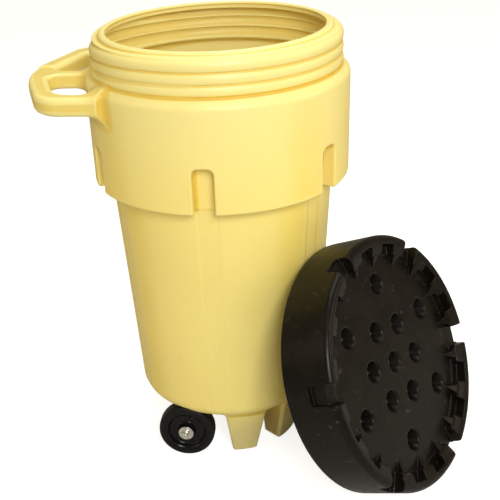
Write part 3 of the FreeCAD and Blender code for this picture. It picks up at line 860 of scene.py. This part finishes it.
def black_tyre():
    """Hard black rubber with dust in its grain."""
    look = Look("black_tyre", 0.48, 0.2)
    dust = look.ramp(look.noise(60.0, 6.0, 0.65), 0.50, 0.75)
    look.colour(look.mix(look.share(dust, 0.5), (0.007, 0.0067, 0.0067), (0.035, 0.032, 0.030)))
    look.roughness(look.ramp(dust, 0.0, 1.0, 0.40, 0.72))
    look.bump((look.noise(700.0, 2.0), 0.0003, 0.5), (dust, 0.0002, 0.3))
    return look.material


def black_hub():
    """Glossy black moulded hub with swirl marks."""
    look = Look("black_hub", 0.2, 0.22)
    marks = look.ramp(look.noise(90.0, 5.0, 0.6, (1.0, 3.0, 1.0)), 0.55, 0.75)
    look.colour(look.mix(look.share(marks, 0.35), (0.006, 0.006, 0.0065), (0.026, 0.026, 0.028)))
    look.roughness(look.ramp(marks, 0.0, 1.0, 0.16, 0.42))
    look.bump((look.noise(500.0, 2.0), 0.0002, 0.25), (look.noise(30.0, 2.0), 0.0006, 0.25))
    return look.material


def zinc_steel():
    """Zinc-plated steel: bright, mottled, a little dull where it has weathered."""
    look = Look("zinc_steel", 0.3)
    look.shader.inputs["Metallic"].default_value = 1.0
    bloom = look.ramp(look.noise(160.0, 5.0, 0.65), 0.42, 0.68)
    look.colour(look.mix(bloom, (0.82, 0.81, 0.78), (0.55, 0.53, 0.49)))
    look.roughness(look.ramp(bloom, 0.0, 1.0, 0.26, 0.52))
    look.bump((look.noise(900.0, 3.0), 0.0002, 0.35), (bloom, 0.0001, 0.3))
    return look.material


def nylon():
    """Off-white nylon, greyed by grease."""
    look = Look("nylon", 0.4)
    grease = look.ramp(look.noise(120.0, 4.0), 0.45, 0.7)
    look.colour(look.mix(grease, (0.66, 0.64, 0.56), (0.30, 0.28, 0.24)))
    look.roughness(look.ramp(grease, 0.0, 1.0, 0.42, 0.28))
    look.bump((look.noise(600.0, 2.0), 0.0002, 0.3), (grease, 0.0001, 0.2))
    return look.material


def gasket_rubber():
    """Closed-cell foam rubber with a fine open skin."""
    look = Look("gasket_rubber", 0.85)
    cells = look.noise(900.0, 3.0)
    chalk = look.ramp(look.noise(25.0, 4.0), 0.4, 0.7)
    look.colour(look.mix(chalk, (0.030, 0.030, 0.032), (0.062, 0.061, 0.060)))
    look.roughness(look.ramp(cells, 0.3, 0.7, 0.78, 0.95))
    look.bump((cells, 0.0006, 0.7), (look.noise(80.0, 2.0), 0.0008, 0.3))
    return look.material


# ---------------------------------------------------------------------------------------------
# Camera, floor, light
# ---------------------------------------------------------------------------------------------

FLOOR_GLOW = 0.8        # to the camera only, so that the floor reads white and doesn't light the object
FLOOR_GREY = 0.62
FLOOR_HALF = 8
CAMERA_PLACE = (0.32304, -2.29857, 1.59579)
CAMERA_LENS = 70.49
CAMERA_SHIFT = (0.0943, -0.0005)
WORLD_COLOUR = (1.0, 0.84, 0.55, 1)
WORLD_STRENGTH = 0.34
WARM, GOLDEN = (1.0, 0.88, 0.6), (1.0, 0.86, 0.5)


def make_camera():
    """A view from the side and a little above, the handle on the left and the lid on the right."""
    pan, pitch, roll, turn = -0.02555, 0.43642, 0.05780, math.radians(8.0)
    forward = Vector((math.sin(pan) * math.cos(pitch), math.cos(pan) * math.cos(pitch), -math.sin(pitch)))
    right = Vector((math.cos(pan), -math.sin(pan), 0))
    down = forward.cross(right)
    image_right = math.cos(roll) * right + math.sin(roll) * down
    image_down = -math.sin(roll) * right + math.cos(roll) * down
    rotate = Matrix.Rotation(turn, 3, "Z")
    columns = [rotate @ image_right, rotate @ -image_down, rotate @ -forward]
    data = bpy.data.cameras.new("camera")
    data.sensor_width = 36.0
    data.lens = CAMERA_LENS
    data.shift_x, data.shift_y = CAMERA_SHIFT
    data.clip_start, data.clip_end = 0.1, 60.0
    cam = add_object("camera", data)
    cam.matrix_world = Matrix.Translation(CAMERA_PLACE) @ Matrix(columns).transposed().to_4x4()
    bpy.context.scene.camera = cam


def make_floor():
    """A plain pale floor, a millimetre below the feet."""
    corners = [(-1, -1), (1, -1), (1, 1), (-1, 1)]
    me = bpy.data.meshes.new("floor")
    me.from_pydata([(FLOOR_HALF * x, FLOOR_HALF * y, -0.001) for x, y in corners], [], [(0, 1, 2, 3)])
    ob = add_object("floor", me)
    mat = bpy.data.materials.new("floor")
    mat.use_nodes = True
    shader = mat.node_tree.nodes["Principled BSDF"]
    shader.inputs["Base Color"].default_value = (FLOOR_GREY, FLOOR_GREY, FLOOR_GREY, 1)
    shader.inputs["Roughness"].default_value = 0.7
    shader.inputs["Emission Color"].default_value = (1, 1, 1, 1)
    seen = mat.node_tree.nodes.new("ShaderNodeLightPath").outputs["Is Camera Ray"]
    glow = mat.node_tree.nodes.new("ShaderNodeMath")
    glow.operation = "MULTIPLY"
    glow.inputs[1].default_value = FLOOR_GLOW
    mat.node_tree.links.new(seen, glow.inputs[0])
    mat.node_tree.links.new(glow.outputs[0], shader.inputs["Emission Strength"])
    me.materials.append(mat)


def area_light(name, location, aim, side, power, colour=(1.0, 1.0, 1.0)):
    """A square area light that faces a height on the drum's axis."""
    data = bpy.data.lights.new(name, "AREA")
    data.shape = "RECTANGLE"
    data.size = data.size_y = side
    data.energy = power
    data.color = colour
    ob = add_object(name, data)
    ob.location = location
    ob.rotation_mode = "QUATERNION"
    ob.rotation_quaternion = (Vector((0, 0, aim)) - Vector(location)).to_track_quat("-Z", "Y")


def make_light():
    """Soft studio light: a key from the front, warm fills on both sides, and one overhead."""
    area_light("key", (1.1, -3.4, 2.7), 0.6, 1.4, 100)
    area_light("right", (3.2, -0.4, 1.7), 0.6, 1.4, 26, WARM)
    area_light("left", (-3.0, -1.6, 2.0), 0.6, 1.6, 14, GOLDEN)
    area_light("top", (0.3, 0.3, 3.6), 1.0, 1.8, 44)
    world = bpy.data.worlds.new("world")
    world.use_nodes = True
    world.node_tree.nodes["Background"].inputs["Color"].default_value = WORLD_COLOUR
    world.node_tree.nodes["Background"].inputs["Strength"].default_value = WORLD_STRENGTH
    bpy.context.scene.world = world
    bpy.context.scene.view_settings.view_transform = "Standard"


make_drum()
make_lid()
make_gasket()
make_wheels()
make_hardware()
make_camera()
make_floor()
make_light()
